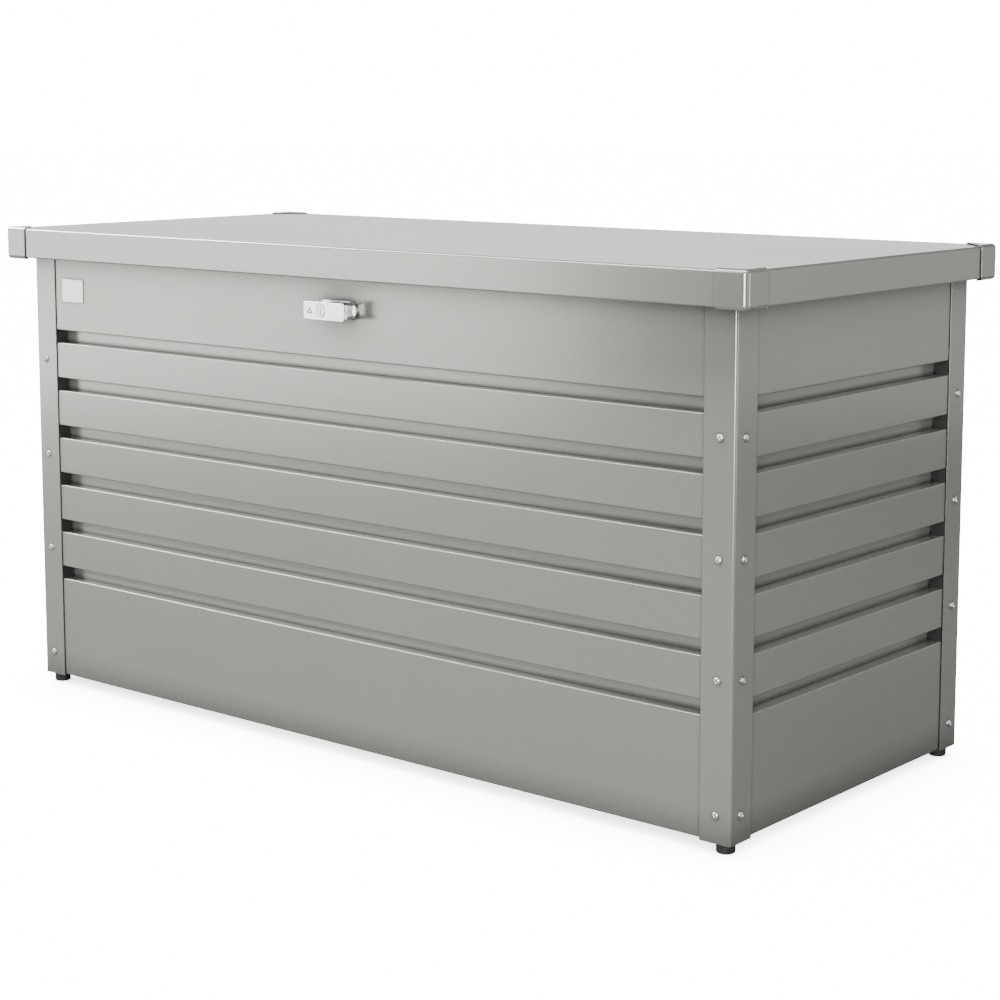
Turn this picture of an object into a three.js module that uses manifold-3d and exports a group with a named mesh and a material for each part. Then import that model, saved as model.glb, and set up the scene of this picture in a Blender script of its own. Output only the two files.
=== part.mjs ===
// Deck storage box in folded sheet steel: four grooved walls between four corner posts, a floor
// pan on adjustable feet, and an overhanging lid with corner caps on two rear hinges, held open
// by two gas struts and fastened by a turn knob with a key lock.
// Millimetres, +Z up, front towards -Y, +X to the right of somebody facing the front.
import * as THREE from 'three'
import { mergeVertices } from 'three/addons/utils/BufferGeometryUtils.js'
import Module from 'manifold-3d'

const wasm = await Module()
wasm.setup()

// ---- driving dimensions ----

const GAP = 0.3 // clearance between two pieces that touch
const SLIDE = 0.4 // radial clearance of a turning or sliding fit

// walls and posts
const BODY_W = 1276 // over the posts, along X
const BODY_D = 554 // over the posts, along Y
const SHEET = 1 // wall and floor sheet
const POST_SHEET = 1.5
const POST_FLANGE = 45
const POST_BOTTOM = 14
const WALL_BOTTOM = 16.5
const WALL_TOP = 690 // above the ground, as all heights are
const WALL_TAB_MARGIN = 7 // from the corner to the end of the wall's screw tabs
const WALL_HEM = 9 // folded in along the bottom of each wall
const GROOVE_COUNT = 6
const GROOVE_TOP_DROP = 139.2 // from the wall's top to the upper edge of the highest groove
const GROOVE_PITCH = 72.75
const GROOVE_HEIGHT = 19.4
const GROOVE_DEPTH = 20
const GROOVE_COVER = 1.5 // how far each groove runs on behind the post's flange
const BEND = 1.2 // inside radius of a fold
const POST_BEND = 2.2

// screws that join posts, walls and floor pan
const SCREW_OFFSET = 21.5 // from the corner
const SCREW_HOLE_R = 2.6
const LOW_SCREW_Z = 49

// floor and top rails
const FLOOR_Z = 38
const FLOOR_FLANGE = 24
const FLOOR_RAIL_W = 60
const FLOOR_RAIL_H = 18
const FLOOR_RAIL_Y = 120
const FLOOR_RAIL_END_GAP = 33 // from the foot plate to the rail's end
const TOP_RAIL_H = 26
const TOP_RAIL_LEG = 20
const RAIL_SHEET = 1.5

// feet
const FOOT_OFFSET = 18 // from both outer faces to the foot's centre
const FOOT_R = 12
const FOOT_HEIGHT = 17
const FOOT_SOCKET = 8
const STUD_R = 5
const STUD_CLEARANCE = 2 // from the stud to the floor above it
const FOOT_PLATE_SIZE = 45
const FOOT_PLATE_RISE = 3 // from the pad to the plate above it
const FOOT_PLATE_T = 3
const FOOT_NUT_R = 9
const FOOT_NUT_H = 8

// lid
const LID_SIDE_OVERHANG = 30 // from the posts to the rim's outer face
const LID_FRONT_OVERHANG = 27.3
const LID_REAR_OVERHANG = 18.3
const LID_RISE = 13.3 // from the walls' top to the lid's top
const RIM_HEIGHT = 43.6
const LID_SHEET = 1.2
const LID_CORNER_R = 7
const LID_EDGE_R = 4
const RIM_RETURN = 5
const CAP_LEG = 44.6
const CAP_PROUD = 2
const CAP_DROP = 2.5 // how far a cap hangs below the rim
const CAP_LIP = 8
const STIFFENER_X = 222
const STIFFENER_W = 50
const STIFFENER_H = 14
const STIFFENER_END_GAP = 6

// hinges
const HINGE_X = 400
const HINGE_LENGTH = 110
const HINGE_KNUCKLES = 5
const KNUCKLE_R = 5
const PIN_R = 2.2
const PIN_HEAD_R = 3.6
const PIN_HEAD_H = 1.6
const HINGE_OFFSET = 7.5 // pin axis behind the posts
const HINGE_DROP = 5.7 // pin axis below the rim
const LEAF_T = 2
const BODY_LEAF_H = 44
const LID_LEAF_DEPTH = 40

// gas struts
const STRUT_CLEARANCE = 6.2 // from the end wall's grooves to the strut
const STRUT_FOOT_INSET = 79.5 // in front of the hinge pin
const STRUT_HEAD_INSET = 138.5
const STRUT_HEAD_RISE = 18 // above the hinge pin
const TUBE_R = 9
const ROD_SHOWN = 15.4 // from the end of the tube to the head's pivot when the lid is shut
const TUBE_CAP = 8
const TUBE_WALL = 1.5
const ROD_R = 4
const PISTON_Z = 20 // from the foot pivot to the piston
const PISTON_T = 6
const EYE_R = 8
const EYE_T = 8
const STRUT_PIN_R = 4
const STRUT_BASE_W = 34
const STRUT_BASE_MARGIN = 6.7 // above and below the base on its plank
const STRUT_BASE_T = 2
const STRUT_BOSS_R = 7
const OPEN_PIVOT_GAP = 0.8 // between the rod's eye and the lid's pin
const LID_BRACKET_W = 36
const LID_BRACKET_FLANGE = 24

// lock
const KNOB_X = -3 // turning axis
const KNOB_DROP = 73 // below the wall's top
const KNOB_REACH = 31 // from the wall to the knob's front face
const KNOB_LEFT = 32
const KNOB_RIGHT = 43
const KNOB_H = 25
const KNOB_BAR_T = 7
const KNOB_CORNER_R = 5
const KNOB_NECK_R = 10
const KNOB_PLAY = 1 // between the bar and the block behind it
const ROSETTE_LEFT = 31
const ROSETTE_RIGHT = 38
const ROSETTE_H = 25
const ROSETTE_T = 4
const NECK_RECESS = 2
const BLOCK_LEFT = 3 // the thick right-hand part of the rosette, from the knob's axis
const BLOCK_RIGHT = 35
const BLOCK_H = 24
const BLOCK_CORNER_R = 7
const SHAFT_R = 6
const SHAFT_TIP_R = 4
const HOUSING_R = 9.5
const HOUSING_DEPTH = 31
const NUT_R = 14
const NUT_T = 5
const BARREL_R = 8.4
const BARREL_T = 12
const PLUG_R = 5.6
const KEY_SLOT_W = 1.4
const KEY_SLOT_H = 7
const KEY_SLOT_DEPTH = 8
const CAM_LENGTH = 38
const CAM_W = 12
const CAM_T = 2.5
const CAM_INSET = 37.6 // from the wall's outer face to the cam
const CAM_NUT_R = 8
const CAM_NUT_T = 4
const KEEPER_X = 22 // from the knob's axis to the keeper plate
const KEEPER_T = 2
const KEEPER_W = 14
const KEEPER_FLANGE = 28
const KEEPER_BAR = 8
const KEEPER_PLAY = 0.8

// label plate
const LABEL_W = 47
const LABEL_H = 34
const LABEL_T = 1.2
const LABEL_CORNER_R = 2
const LABEL_INSET = 86 // from the left-hand corner to the plate's middle
const LABEL_DROP = 78.2 // below the wall's top

// ---- derived places ----

const wallInset = POST_SHEET + GAP // posts lie over the walls
const wallFaceX = BODY_W / 2 - wallInset
const wallFaceY = BODY_D / 2 - wallInset
const insideX = wallFaceX - SHEET - GAP
const insideY = wallFaceY - SHEET - GAP
const lidX = BODY_W / 2 + LID_SIDE_OVERHANG
const lidFront = BODY_D / 2 + LID_FRONT_OVERHANG
const lidRear = BODY_D / 2 + LID_REAR_OVERHANG
const lidTop = WALL_TOP + LID_RISE
const rimBottom = lidTop - RIM_HEIGHT
const underLid = lidTop - LID_SHEET - GAP
const grooveTop = WALL_TOP - GROOVE_TOP_DROP
const grooveTops = Array.from({ length: GROOVE_COUNT }, (_, i) => grooveTop - i * GROOVE_PITCH)
const plankZ = grooveTops.map((top) => top - (GROOVE_PITCH + GROOVE_HEIGHT) / 2)
const screwHeights = [plankZ[0], plankZ[2], plankZ[4], LOW_SCREW_Z]
const footX = BODY_W / 2 - FOOT_OFFSET
const footY = BODY_D / 2 - FOOT_OFFSET
const hingeY = BODY_D / 2 + HINGE_OFFSET
const hingeZ = rimBottom - HINGE_DROP
const strutX = wallFaceX - SHEET - GROOVE_DEPTH - STRUT_CLEARANCE - TUBE_R
const strutFoot = new THREE.Vector2(hingeY - STRUT_FOOT_INSET, plankZ[0])
const strutHead = new THREE.Vector2(hingeY - STRUT_HEAD_INSET, hingeZ + STRUT_HEAD_RISE)
const knobZ = WALL_TOP - KNOB_DROP

// ---- materials ----

const finish = (color, roughness, metalness) => () =>
  new THREE.MeshStandardMaterial({ color, roughness, metalness })
const paintedSteel = finish(0xa9a9a4, 0.42, 0.55)
const zincSteel = finish(0xb4b6b8, 0.4, 0.9)
const satinChrome = finish(0xc6c7c8, 0.25, 1)
const brightRod = finish(0xd8dadc, 0.12, 1)
const blackTube = finish(0x17181a, 0.35, 0.4)
const blackPlastic = finish(0x151515, 0.6, 0)
const greyPlastic = finish(0xa6a6a2, 0.35, 0.1)
const labelAlloy = finish(0xd9d9d6, 0.4, 0.7)

// ---- solid helpers ----

function toSolid(geometry) {
  geometry.deleteAttribute('normal')
  geometry.deleteAttribute('uv')
  const merged = mergeVertices(geometry, 1e-4)
  return new wasm.Manifold(
    new wasm.Mesh({
      numProp: 3,
      vertProperties: new Float32Array(merged.attributes.position.array),
      triVerts: new Uint32Array(merged.index.array),
    }),
  )
}

function toMesh(name, solid, material) {
  const { vertProperties, triVerts } = solid.getMesh()
  const geometry = new THREE.BufferGeometry()
  geometry.setAttribute('position', new THREE.BufferAttribute(new Float32Array(vertProperties), 3))
  geometry.setIndex(new THREE.BufferAttribute(new Uint32Array(triVerts), 1))
  geometry.computeVertexNormals()
  const mesh = new THREE.Mesh(geometry, material())
  mesh.name = name
  return mesh
}

// A block between two opposite corners.
function block(x0, x1, y0, y1, z0, z1) {
  const geometry = new THREE.BoxGeometry(x1 - x0, y1 - y0, z1 - z0)
  return toSolid(geometry.translate((x0 + x1) / 2, (y0 + y1) / 2, (z0 + z1) / 2))
}

// A round bar along one axis, from one end to the other, through the point given by the other two.
function bar(axis, radius, from, to, a, b, sides = 20) {
  const geometry = new THREE.CylinderGeometry(radius, radius, to - from, sides)
  const middle = (from + to) / 2
  if (axis === 'x') geometry.rotateZ(Math.PI / 2).translate(middle, a, b)
  if (axis === 'y') geometry.translate(a, middle, b)
  if (axis === 'z') geometry.rotateX(Math.PI / 2).translate(a, b, middle)
  return toSolid(geometry)
}

// An outline extruded along an axis: (y, z) along x, (x, z) along y, or (x, y) along z.
function prism(axis, outline, from, to) {
  const shape = outline instanceof THREE.Shape ? outline : new THREE.Shape(outline)
  const geometry = new THREE.ExtrudeGeometry(shape, {
    depth: to - from,
    bevelEnabled: false,
    curveSegments: 6,
  })
  const matrix = new THREE.Matrix4()
  const [x, y, z] = [[1, 0, 0], [0, 1, 0], [0, 0, 1]].map((v) => new THREE.Vector3(...v))
  if (axis === 'x') matrix.makeBasis(y, z, x).setPosition(from, 0, 0)
  if (axis === 'y') matrix.makeBasis(x, z, y.clone().negate()).setPosition(0, to, 0)
  if (axis === 'z') matrix.setPosition(0, 0, from)
  return toSolid(geometry.applyMatrix4(matrix))
}

const union = (...solids) => solids.reduce((joined, solid) => joined.add(solid))
const cut = (solid, ...tools) => tools.reduce((left, tool) => left.subtract(tool), solid)

// The points of a path whose corners are rounded, each by its own radius.
function roundedPath(corners, radiusAt, steps = 2) {
  const points = [corners[0]]
  for (let i = 1; i < corners.length - 1; i += 1) {
    const before = corners[i].clone().sub(corners[i - 1]).normalize()
    const after = corners[i + 1].clone().sub(corners[i]).normalize()
    const turn = Math.atan2(before.cross(after), before.dot(after))
    const radius = radiusAt(turn)
    const reach = radius * Math.tan(Math.abs(turn) / 2)
    const start = corners[i].clone().addScaledVector(before, -reach)
    const side = Math.sign(turn)
    const centre = start.clone().add(new THREE.Vector2(-before.y, before.x).multiplyScalar(side * radius))
    for (let k = 0; k <= steps; k += 1) {
      points.push(start.clone().rotateAround(centre, (turn * k) / steps))
    }
  }
  points.push(corners[corners.length - 1])
  return points
}

// The closed outline of a folded sheet whose face follows the corners, with the sheet's
// thickness on the left of the path and the same inside radius at every fold.
function foldedSheet(corners, thickness, bend) {
  const path = corners.map(([a, b]) => new THREE.Vector2(a, b))
  const back = path.map((point, i) => {
    const before = (i > 0 ? point.clone().sub(path[i - 1]) : path[1].clone().sub(point)).normalize()
    const last = i === path.length - 1
    const after = (last ? before.clone() : path[i + 1].clone().sub(point)).normalize()
    const normal = new THREE.Vector2(-before.y, before.x).add(new THREE.Vector2(-after.y, after.x))
    normal.normalize()
    const stretch = thickness / normal.dot(new THREE.Vector2(-before.y, before.x))
    return point.clone().addScaledVector(normal, stretch)
  })
  const face = roundedPath(path, (turn) => (turn > 0 ? bend + thickness : bend))
  const rear = roundedPath(back, (turn) => (turn > 0 ? bend : bend + thickness))
  return [...face, ...rear.reverse()]
}

function roundedRectangle(x0, x1, y0, y1, radius) {
  const shape = new THREE.Shape()
  shape.absarc(x1 - radius, y1 - radius, radius, 0, Math.PI / 2)
  shape.absarc(x0 + radius, y1 - radius, radius, Math.PI / 2, Math.PI)
  shape.absarc(x0 + radius, y0 + radius, radius, Math.PI, 1.5 * Math.PI)
  shape.absarc(x1 - radius, y0 + radius, radius, 1.5 * Math.PI, 2 * Math.PI)
  shape.closePath()
  return shape
}

// A slab with rounded upright corners whose upper edge is rounded over.
function roundedSlab(x0, x1, y0, y1, z0, z1, cornerRadius, edgeRadius) {
  const outline = roundedRectangle(x0, x1, y0, y1, cornerRadius)
  const geometry = new THREE.ExtrudeGeometry(outline, {
    depth: z1 - z0 - edgeRadius,
    bevelThickness: edgeRadius,
    bevelSize: edgeRadius,
    bevelOffset: -edgeRadius,
    bevelSegments: 3,
    curveSegments: 4,
  })
  const solid = toSolid(geometry.translate(0, 0, z0))
  return cut(solid, block(x0 - 1, x1 + 1, y0 - 1, y1 + 1, z0 - 2 * edgeRadius, z0))
}

const model = new THREE.Group()
const put = (name, solid, material) => model.add(toMesh(name, solid, material))

// Each corner as its name and the mirror signs from the front right one.
const corners = [
  ['front_right', 1, 1],
  ['front_left', -1, 1],
  ['rear_right', 1, -1],
  ['rear_left', -1, -1],
]

function mirrored(solid, signX, signY) {
  const flippedX = signX < 0 ? solid.mirror([1, 0, 0]) : solid
  return signY < 0 ? flippedX.mirror([0, 1, 0]) : flippedX
}

// ---- walls, posts and floor ----

// Screw holes through everything near the front right corner's two faces.
function cornerScrewHoles(solid) {
  const deep = 12
  const x = BODY_W / 2
  const y = -BODY_D / 2
  return screwHeights.reduce(
    (left, z) =>
      cut(
        left,
        bar('y', SCREW_HOLE_R, y - 1, y + deep, x - SCREW_OFFSET, z, 8),
        bar('x', SCREW_HOLE_R, x - deep, x + 1, y + SCREW_OFFSET, z, 8),
      ),
    solid,
  )
}

// The same holes at all four corners.
function allScrewHoles(solid) {
  return corners.reduce(
    (left, [, signX, signY]) => mirrored(cornerScrewHoles(mirrored(left, signX, signY)), signX, signY),
    solid,
  )
}

function cornerPost() {
  const x = BODY_W / 2
  const y = -BODY_D / 2
  const angle = foldedSheet(
    [[x - POST_FLANGE, y], [x, y], [x, y + POST_FLANGE]],
    POST_SHEET,
    POST_BEND,
  )
  return cornerScrewHoles(prism('z', angle, POST_BOTTOM, WALL_TOP))
}

// A wall's section from its bottom hem over the grooves to its top. The first number is how far
// a corner lies inside the wall's outer face and the second its height.
function wallSection() {
  const face = [[WALL_HEM, WALL_BOTTOM], [0, WALL_BOTTOM]]
  for (const top of [...grooveTops].reverse()) {
    const bottom = top - GROOVE_HEIGHT
    face.push([0, bottom], [GROOVE_DEPTH, bottom], [GROOVE_DEPTH, top], [0, top])
  }
  face.push([0, WALL_TOP])
  return foldedSheet(face.reverse(), SHEET, BEND)
}

// A wall facing -Y whose outer face is at the given distance in front of the origin. Plates close
// the grooves' ends, and beyond them only the flat planks run on as tabs behind the posts.
function wall(halfWidth, faceY) {
  const section = wallSection().map((p) => new THREE.Vector2(p.x - faceY, p.y))
  const tabEnd = halfWidth - WALL_TAB_MARGIN
  const grooveEnd = halfWidth - POST_FLANGE + GROOVE_COVER
  const behind = -faceY + SHEET
  const notch = (a, b) => block(a, b, behind, behind + GROOVE_DEPTH + 1, 0, WALL_TOP + 1)
  const endPlates = [grooveEnd, -grooveEnd - SHEET].flatMap((x) =>
    grooveTops.map((top) =>
      block(x, x + SHEET, behind, behind + GROOVE_DEPTH, top - GROOVE_HEIGHT - SHEET, top + SHEET)))
  const folded = cut(
    prism('x', section, -tabEnd, tabEnd),
    notch(-tabEnd - 1, -grooveEnd),
    notch(grooveEnd, tabEnd + 1),
  )
  return union(folded, ...endPlates)
}

const longWall = wall(BODY_W / 2, wallFaceY)
const endWall = wall(BODY_D / 2, wallFaceX)
const lockHole = bar('y', HOUSING_R + GAP, -BODY_D / 2, -BODY_D / 2 + 10, KNOB_X, knobZ)
put('front_wall', cut(allScrewHoles(longWall), lockHole), paintedSteel)
put('rear_wall', allScrewHoles(longWall.rotate([0, 0, 180])), paintedSteel)
put('right_wall', allScrewHoles(endWall.rotate([0, 0, 90])), paintedSteel)
put('left_wall', allScrewHoles(endWall.rotate([0, 0, -90])), paintedSteel)

const post = cornerPost()
for (const [where, signX, signY] of corners) {
  put(`post_${where}`, mirrored(post, signX, signY), paintedSteel)
}

function floorPan() {
  const outer = block(-insideX, insideX, -insideY, insideY, FLOOR_Z, FLOOR_Z + FLOOR_FLANGE)
  const [x, y] = [insideX - SHEET, insideY - SHEET]
  const inner = block(-x, x, -y, y, FLOOR_Z + SHEET, FLOOR_Z + FLOOR_FLANGE + 1)
  return allScrewHoles(cut(outer, inner))
}
put('floor_pan', floorPan(), paintedSteel)

// A channel with its open side down or up, running along an axis.
function channel(width, height, thickness, top) {
  const [w, t] = [width / 2, thickness]
  return [
    [-w, top - height], [-w + t, top - height], [-w + t, top - t],
    [w - t, top - t], [w - t, top - height], [w, top - height], [w, top], [-w, top],
  ].map(([a, b]) => new THREE.Vector2(a, b))
}

const floorRailEnd = insideX - FOOT_PLATE_SIZE - FLOOR_RAIL_END_GAP
for (const [where, sign] of [['front', -1], ['rear', 1]]) {
  const section = channel(FLOOR_RAIL_W, FLOOR_RAIL_H, RAIL_SHEET, FLOOR_Z - GAP)
  const placed = section.map((p) => new THREE.Vector2(p.x + sign * FLOOR_RAIL_Y, p.y))
  put(`floor_rail_${where}`, prism('x', placed, -floorRailEnd, floorRailEnd), zincSteel)
}

// The angle along the top of a wall, in the frame of a wall that faces -Y.
function topRail(face, end) {
  const angle = foldedSheet(
    [[-face + TOP_RAIL_LEG, WALL_TOP], [-face, WALL_TOP], [-face, WALL_TOP - TOP_RAIL_H]],
    RAIL_SHEET,
    BEND,
  )
  return prism('x', angle, -end, end)
}
const longRailEnd = insideX - GAP
const endRailEnd = insideY - TOP_RAIL_LEG - GAP
put('top_rail_front', topRail(insideY, longRailEnd), zincSteel)
put('top_rail_rear', topRail(insideY, longRailEnd).rotate([0, 0, 180]), zincSteel)
put('top_rail_right', topRail(insideX, endRailEnd).rotate([0, 0, 90]), zincSteel)
put('top_rail_left', topRail(insideX, endRailEnd).rotate([0, 0, -90]), zincSteel)

// ---- feet ----

function footPlate() {
  const [x, y, size] = [insideX, -insideY, FOOT_PLATE_SIZE]
  const outline = [
    [x - size, y], [x, y], [x, y + size], [x - size / 2, y + size], [x - size, y + size / 2],
  ].map(([a, b]) => new THREE.Vector2(a, b))
  const low = FOOT_HEIGHT + FOOT_PLATE_RISE
  const top = low + FOOT_PLATE_T
  const plate = prism('z', outline, low, top)
  const nut = bar('z', FOOT_NUT_R, top - 1, top + FOOT_NUT_H, footX, -footY, 6)
  const hole = bar('z', STUD_R + SLIDE, low - 1, top + FOOT_NUT_H + 1, footX, -footY)
  return cut(plate.add(nut), hole)
}

// A pad with rounded lower and upper edges and a blind socket for the stud.
function footPad() {
  const [edge, socket] = [2.5, STUD_R + GAP]
  const arc = (cx, cy, from) =>
    Array.from({ length: 4 }, (_, i) => {
      const angle = from + (i * Math.PI) / 6
      return new THREE.Vector2(cx + edge * Math.cos(angle), cy + edge * Math.sin(angle))
    })
  const profile = [
    new THREE.Vector2(0, 0),
    ...arc(FOOT_R - edge, edge, -Math.PI / 2),
    ...arc(FOOT_R - edge, FOOT_HEIGHT - edge, 0),
    new THREE.Vector2(socket, FOOT_HEIGHT),
    new THREE.Vector2(socket, FOOT_HEIGHT - FOOT_SOCKET),
    new THREE.Vector2(0, FOOT_HEIGHT - FOOT_SOCKET),
  ]
  const geometry = new THREE.LatheGeometry(profile, 24)
  return toSolid(geometry.rotateX(Math.PI / 2).translate(footX, -footY, 0))
}

const plate = footPlate()
const pad = footPad()
const studBottom = FOOT_HEIGHT - FOOT_SOCKET + GAP
const stud = bar('z', STUD_R, studBottom, FLOOR_Z - STUD_CLEARANCE, footX, -footY)
for (const [where, signX, signY] of corners) {
  put(`foot_plate_${where}`, mirrored(plate, signX, signY), zincSteel)
  put(`foot_pad_${where}`, mirrored(pad, signX, signY), blackPlastic)
  put(`foot_stud_${where}`, mirrored(stud, signX, signY), zincSteel)
}

// ---- lid ----

// The lid's outer form, grown or shrunk all round.
function lidForm(grow, bottom) {
  const x = lidX + grow
  const top = lidTop + grow
  const [corner, edge] = [LID_CORNER_R + grow, LID_EDGE_R + grow]
  return roundedSlab(-x, x, -lidFront - grow, lidRear + grow, bottom, top, corner, edge)
}

function lidShell() {
  const inset = RIM_RETURN
  const x = lidX - inset
  const mouth = roundedRectangle(-x, x, -lidFront + inset, lidRear - inset, LID_CORNER_R)
  return cut(
    lidForm(0, rimBottom),
    lidForm(-LID_SHEET, rimBottom + LID_SHEET),
    prism('z', mouth, rimBottom - 1, rimBottom + 2 * LID_SHEET),
  )
}
put('lid_shell', lidShell(), paintedSteel)

// The cap over a right-hand lid corner: two legs down the rim, a lip under it and a triangle on
// top. Sign is 1 at the rear and -1 at the front.
function lidCap(sign, edgeY) {
  const [x, y] = [lidX + CAP_PROUD, edgeY + sign * CAP_PROUD]
  const [bottom, top] = [rimBottom - CAP_DROP, lidTop + CAP_PROUD]
  // Everything further in than the inset from both outer faces, as far as past the legs' ends.
  const squareBehind = (inset, reach, z0, z1) => {
    const [ya, yb] = [y - sign * inset, y - sign * reach]
    return block(x - reach, x - inset, Math.min(ya, yb), Math.max(ya, yb), z0, z1)
  }
  const far = CAP_LEG + 1
  const diagonal = [
    [x, y - sign * CAP_LEG], [x - CAP_LEG, y], [x - far, y], [x - far, y - sign * far], [x, y - sign * far],
  ].map(([a, b]) => new THREE.Vector2(a, b))
  return cut(
    lidForm(CAP_PROUD, bottom).intersect(squareBehind(-1, CAP_LEG, bottom - 1, top + 1)),
    lidForm(GAP, rimBottom - GAP),
    squareBehind(CAP_LIP, far, bottom - 1, rimBottom),
    prism('z', diagonal, lidTop, top + 1),
  )
}
for (const [row, sign, edgeY] of [['front', -1, -lidFront], ['rear', 1, lidRear]]) {
  const cap = lidCap(sign, edgeY)
  put(`lid_cap_${row}_right`, cap, greyPlastic)
  put(`lid_cap_${row}_left`, mirrored(cap, -1, 1), greyPlastic)
}

const stiffenerEnd = insideY - TOP_RAIL_LEG - STIFFENER_END_GAP
for (const [side, sign] of [['left', -1], ['right', 1]]) {
  const section = channel(STIFFENER_W, STIFFENER_H, SHEET, underLid)
  const placed = section.map((p) => new THREE.Vector2(p.x + sign * STIFFENER_X, p.y))
  put(`lid_stiffener_${side}`, prism('y', placed, -stiffenerEnd, stiffenerEnd), paintedSteel)
}

// ---- hinges ----

const knuckleStep = HINGE_LENGTH / HINGE_KNUCKLES

// The knuckles whose number has the given parity, each with a web made by the given function.
function knuckles(centreX, parity, web) {
  const parts = []
  for (let i = parity; i < HINGE_KNUCKLES; i += 2) {
    const start = centreX - HINGE_LENGTH / 2 + i * knuckleStep + GAP / 2
    const end = start + knuckleStep - GAP
    parts.push(bar('x', KNUCKLE_R, start, end, hingeY, hingeZ), web(start, end))
  }
  return union(...parts)
}

function bodyLeaf(centreX) {
  const face = wallFaceY + GAP
  const low = hingeZ - KNUCKLE_R
  const web = (a, b) => block(a, b, face, hingeY, low, low + LEAF_T)
  const half = HINGE_LENGTH / 2
  const flat = block(centreX - half, centreX + half, face, face + LEAF_T, low - BODY_LEAF_H, low + 1)
  return cut(flat.add(knuckles(centreX, 0, web)), pinBore(centreX))
}

function lidLeaf(centreX) {
  const rear = hingeY + KNUCKLE_R - 1
  const web = (a, b) => block(a, b, rear - LEAF_T, rear, hingeZ, hingeZ + KNUCKLE_R + 1)
  const half = HINGE_LENGTH / 2
  const low = hingeZ + KNUCKLE_R + GAP
  const [x0, x1] = [centreX - half, centreX + half]
  const upright = block(x0, x1, rear - LEAF_T, rear, low, underLid)
  const top = block(x0, x1, rear - LID_LEAF_DEPTH, rear, underLid - LEAF_T, underLid)
  return cut(union(upright, top, knuckles(centreX, 1, web)), pinBore(centreX))
}

function pinBore(centreX) {
  const half = HINGE_LENGTH / 2 + 1
  return bar('x', PIN_R + GAP, centreX - half, centreX + half, hingeY, hingeZ)
}

function hingePin(centreX) {
  const half = HINGE_LENGTH / 2
  const [from, to] = [centreX - half - GAP, centreX + half + GAP]
  return union(
    bar('x', PIN_R, from - 1, to + 1, hingeY, hingeZ),
    bar('x', PIN_HEAD_R, from - PIN_HEAD_H, from, hingeY, hingeZ),
    bar('x', PIN_HEAD_R, to, to + PIN_HEAD_H, hingeY, hingeZ),
  )
}

for (const [side, sign] of [['left', -1], ['right', 1]]) {
  put(`hinge_body_leaf_${side}`, bodyLeaf(sign * HINGE_X), zincSteel)
  put(`hinge_lid_leaf_${side}`, lidLeaf(sign * HINGE_X), zincSteel)
  put(`hinge_pin_${side}`, hingePin(sign * HINGE_X), zincSteel)
}

// ---- gas struts ----

// Strut pieces are made upright at the right-hand end, with the foot pivot at y = z = 0, then
// tilted to the head pivot and moved into place.
const strutLine = strutHead.clone().sub(strutFoot)
const strutLength = strutLine.length()
const tubeLength = strutLength - ROD_SHOWN
const strutTilt = THREE.MathUtils.radToDeg(Math.atan2(-strutLine.x, strutLine.y))

function placeStrut(solid) {
  return solid.rotate([strutTilt, 0, 0]).translate([strutX, strutFoot.x, strutFoot.y])
}

const eye = (z) => bar('x', EYE_R, -EYE_T / 2, EYE_T / 2, 0, z)
const eyeHole = (z) => bar('x', STRUT_PIN_R + SLIDE, -EYE_T, EYE_T, 0, z)

function strutCylinder() {
  const shoulder = EYE_R + 4
  const bore = TUBE_R - TUBE_WALL
  return cut(
    union(eye(0), bar('z', EYE_T / 2, 0, shoulder + 1, 0, 0, 16),
      bar('z', TUBE_R, shoulder, tubeLength, 0, 0)),
    eyeHole(0),
    bar('z', bore, PISTON_Z - 1, tubeLength - TUBE_CAP, 0, 0),
    bar('z', ROD_R + SLIDE, tubeLength - TUBE_CAP - 1, tubeLength + 1, 0, 0),
  )
}

function strutRod() {
  const piston = bar('z', TUBE_R - TUBE_WALL - SLIDE, PISTON_Z, PISTON_Z + PISTON_T, 0, 0)
  const shaft = bar('z', ROD_R, PISTON_Z + 1, strutLength - EYE_R + 2, 0, 0)
  return cut(union(piston, shaft, eye(strutLength)), eyeHole(strutLength))
}

// The base on the end wall with its boss and the pin that carries the strut's lower eye.
function strutBase() {
  const [y, z] = [strutFoot.x, strutFoot.y]
  const [w, h] = [STRUT_BASE_W / 2, (GROOVE_PITCH - GROOVE_HEIGHT) / 2 - STRUT_BASE_MARGIN]
  const bossEnd = strutX + EYE_T / 2 + GAP
  return union(
    block(insideX - STRUT_BASE_T, insideX, y - w, y + w, z - h, z + h),
    bar('x', STRUT_BOSS_R, bossEnd, insideX - 1, y, z),
    bar('x', STRUT_PIN_R, strutX - EYE_T / 2 - 1.5, bossEnd + 1, y, z),
  )
}

// The lid's bracket: an upright plate beside the strut, a flange under the lid and a short pin.
function strutLidBracket() {
  const [y, z, w] = [strutHead.x, strutHead.y, LID_BRACKET_W / 2]
  const plateX = strutX + EYE_T / 2 + OPEN_PIVOT_GAP + 3
  const low = z - EYE_R - 2
  return union(
    block(plateX, plateX + LEAF_T, y - w / 2, y + w / 2, low, underLid),
    block(plateX - LID_BRACKET_FLANGE, plateX + LEAF_T, y - w, y + w, underLid - LEAF_T, underLid),
    bar('x', STRUT_PIN_R, strutX + EYE_T / 2 + OPEN_PIVOT_GAP, plateX + 1, y, z),
  )
}

for (const [side, sign] of [['left', -1], ['right', 1]]) {
  put(`strut_base_${side}`, mirrored(strutBase(), sign, 1), zincSteel)
  put(`strut_cylinder_${side}`, mirrored(placeStrut(strutCylinder()), sign, 1), blackTube)
  put(`strut_rod_${side}`, mirrored(placeStrut(strutRod()), sign, 1), brightRod)
  put(`strut_lid_bracket_${side}`, mirrored(strutLidBracket(), sign, 1), zincSteel)
}

// ---- lock ----

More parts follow.
